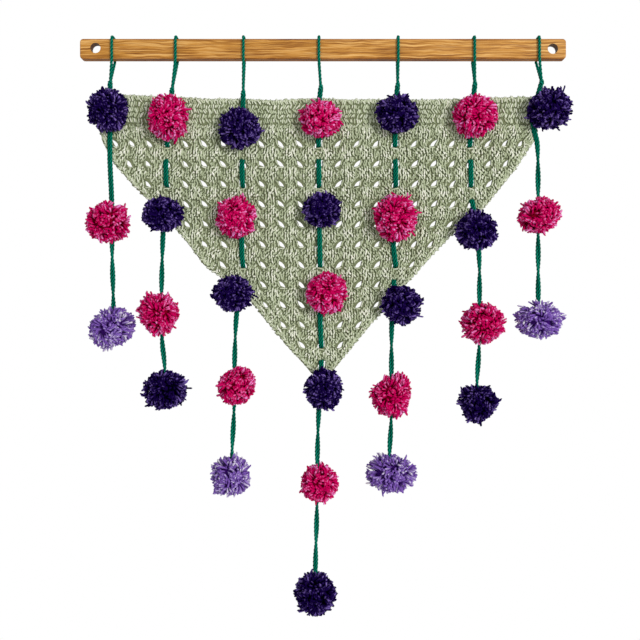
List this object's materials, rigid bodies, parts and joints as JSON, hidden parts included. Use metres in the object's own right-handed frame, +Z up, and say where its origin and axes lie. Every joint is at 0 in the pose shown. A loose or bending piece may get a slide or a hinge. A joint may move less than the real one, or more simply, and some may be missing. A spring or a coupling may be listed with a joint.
{
  "type": "pom pom wall hanging on a wooden bar",
  "caption": "Crocheted triangle and round yarn pompoms on hanging cords, tied over a straight wooden bar that lies on wall hooks, for decorating a wall.",
  "frame": {"origin": "middle of the bar's underside, where it lies on its hooks", "axes": "+X along the bar to the viewer's right, -Y towards the viewer, +Y towards the wall, +Z up"},
  "size_m": [0.4602, 0.0445, 0.5471],
  "materials": {
    "oak": "oiled oak, satin, with a straight grain",
    "sage_yarn": "matte twisted yarn, crocheted",
    "green_yarn": "matte twisted yarn, in doubled strands",
    "magenta_yarn": "matte cut yarn ends",
    "purple_yarn": "matte cut yarn ends",
    "lavender_yarn": "matte cut yarn ends"
  },
  "bodies": {
    "root": {"bar": "oak", "cloth": "sage_yarn", "cord_1": "green_yarn", "pompom_1_1": "purple_yarn", "pompom_1_2": "magenta_yarn", "pompom_1_3": "lavender_yarn", "cord_2": "green_yarn", "pompom_2_1": "magenta_yarn", "pompom_2_2": "purple_yarn", "pompom_2_3": "magenta_yarn", "pompom_2_4": "purple_yarn", "cord_3": "green_yarn", "pompom_3_1": "purple_yarn", "pompom_3_2": "magenta_yarn", "pompom_3_3": "purple_yarn", "pompom_3_4": "magenta_yarn", "pompom_3_5": "lavender_yarn", "cord_4": "green_yarn", "pompom_4_1": "magenta_yarn", "pompom_4_2": "purple_yarn", "pompom_4_3": "magenta_yarn", "pompom_4_4": "purple_yarn", "pompom_4_5": "magenta_yarn", "pompom_4_6": "purple_yarn", "cord_5": "green_yarn", "pompom_5_1": "purple_yarn", "pompom_5_2": "magenta_yarn", "pompom_5_3": "purple_yarn", "pompom_5_4": "magenta_yarn", "pompom_5_5": "lavender_yarn", "cord_6": "green_yarn", "pompom_6_1": "magenta_yarn", "pompom_6_2": "purple_yarn", "pompom_6_3": "magenta_yarn", "pompom_6_4": "purple_yarn", "cord_7": "green_yarn", "pompom_7_1": "purple_yarn", "pompom_7_2": "magenta_yarn", "pompom_7_3": "lavender_yarn"}
  },
  "joints": []
}
